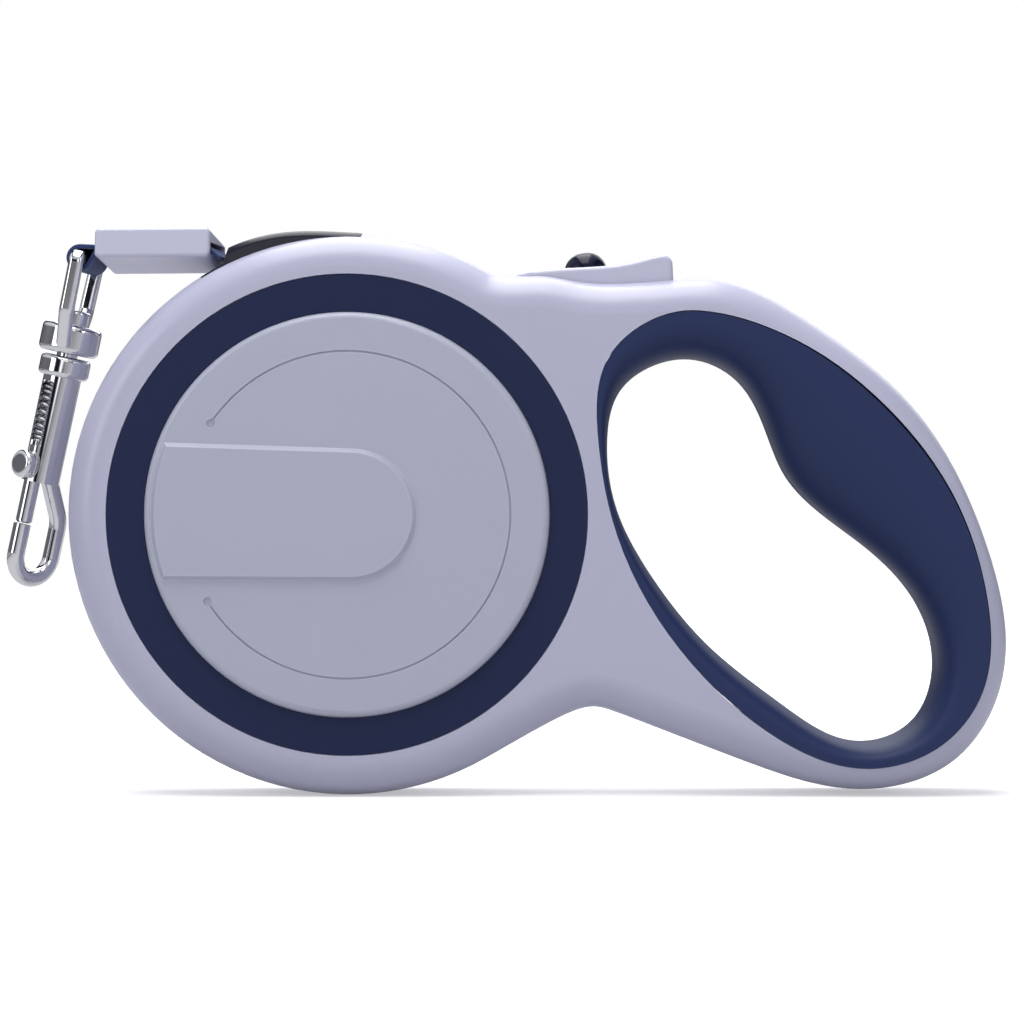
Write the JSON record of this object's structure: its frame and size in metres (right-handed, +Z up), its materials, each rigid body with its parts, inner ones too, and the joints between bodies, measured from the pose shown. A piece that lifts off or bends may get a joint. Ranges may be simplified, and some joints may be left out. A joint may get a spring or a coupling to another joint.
{
  "type": "retractable leash",
  "caption": "Hand-held retractable tape leash with a round spool casing, a looped handle, a thumb brake and a swivel snap clip.",
  "frame": {"origin": "middle of the hand opening, on the parting plane of the two casing shells", "axes": "+X from the spool towards the handle, +Z up, -Y towards the front cover"},
  "size_m": [0.1893, 0.0302, 0.1066],
  "materials": {
    "shell_plastic": "satin lavender grey",
    "cover_plastic": "satin lavender grey",
    "ring_plastic": "matt dark navy",
    "grip_rubber": "soft touch navy",
    "guide_plastic": "gloss dark grey",
    "webbing": "woven navy tape",
    "chrome": "polished",
    "steel": "plain",
    "spring_steel": "plain",
    "spool_plastic": "natural white",
    "bush_plastic": "natural"
  },
  "bodies": {
    "casing": {"front_shell": "shell_plastic", "back_shell": "shell_plastic", "front_grip": "grip_rubber", "back_grip": "grip_rubber", "front_ring": "ring_plastic", "back_ring": "ring_plastic", "front_cover": "cover_plastic", "back_cover": "cover_plastic", "mouth_guide": "guide_plastic", "casing_screws": "steel", "grip_screws": "steel", "axle": "steel", "axle_screws": "steel", "thrust_washers": "bush_plastic", "lever_pin": "steel", "tape_run": "webbing", "brake_spring": "spring_steel"},
    "spool": {"spool_drum": "spool_plastic", "ratchet_flange": "spool_plastic", "spring_lid": "spool_plastic", "lid_screws": "steel", "spool_bush": "bush_plastic", "tape_pin": "steel", "wound_tape": "webbing", "power_spring": "spring_steel"},
    "lever": {"brake_lever": "shell_plastic"},
    "lock": {"lock_slider": "ring_plastic"},
    "tape_end": {"tape_sleeve": "shell_plastic", "tape_loop": "webbing", "tape_lead": "webbing"},
    "clip_eye": {"swivel_eye": "chrome"},
    "clip_hook": {"hook_body": "chrome", "swivel_pin": "chrome", "bolt_spring": "spring_steel"},
    "clip_bolt": {"snap_bolt": "chrome", "thumb_knob": "chrome"}
  },
  "joints": [
    {"name": "tape_pull", "type": "slide", "parent": "casing", "child": "tape_end", "axis": [-0.9945, 0.1045, 0], "range_m": [0, 5], "stiffness_N_per_m": 1.2, "springref_m": -3.3, "deforming": ["tape_lead"]},
    {"name": "spool_spin", "type": "hinge", "parent": "casing", "child": "spool", "pos_m": [-0.0802, 0, 0.0067], "axis": [0, -1, 0], "range_deg": [0, 8641], "deforming": ["power_spring"]},
    {"name": "brake_press", "type": "hinge", "parent": "casing", "child": "lever", "pos_m": [-0.0457, 0, 0.0493], "axis": [0, 1, 0], "range_deg": [0, 6.5], "stiffness_Nm_per_rad": 0.3, "springref_deg": -20.05, "deforming": ["brake_spring"]},
    {"name": "lock_slide", "type": "slide", "parent": "lever", "child": "lock", "axis": [0.9888, 0, 0.1495], "range_m": [0, 0.003]},
    {"name": "clip_swing", "type": "hinge", "parent": "tape_end", "child": "clip_eye", "pos_m": [-0.13045, 0.00292, 0.0553], "axis": [0.1045, 0.9945, 0], "range_deg": [0, 150]},
    {"name": "clip_swivel", "type": "hinge", "parent": "clip_eye", "child": "clip_hook", "pos_m": [-0.13478, 0.00337, 0.03517], "axis": [-0.2102, 0.0221, -0.9774], "continuous": true},
    {"name": "bolt_slide", "type": "slide", "parent": "clip_hook", "child": "clip_bolt", "axis": [0.2102, -0.0221, 0.9774], "range_m": [0, 0.008], "stiffness_N_per_m": 60, "springref_m": -0.02, "deforming": ["bolt_spring"]}
  ],
  "couplings": [
    {"joint": "spool_spin", "follows": "tape_pull", "rad_per_m": 30.159}
  ]
}
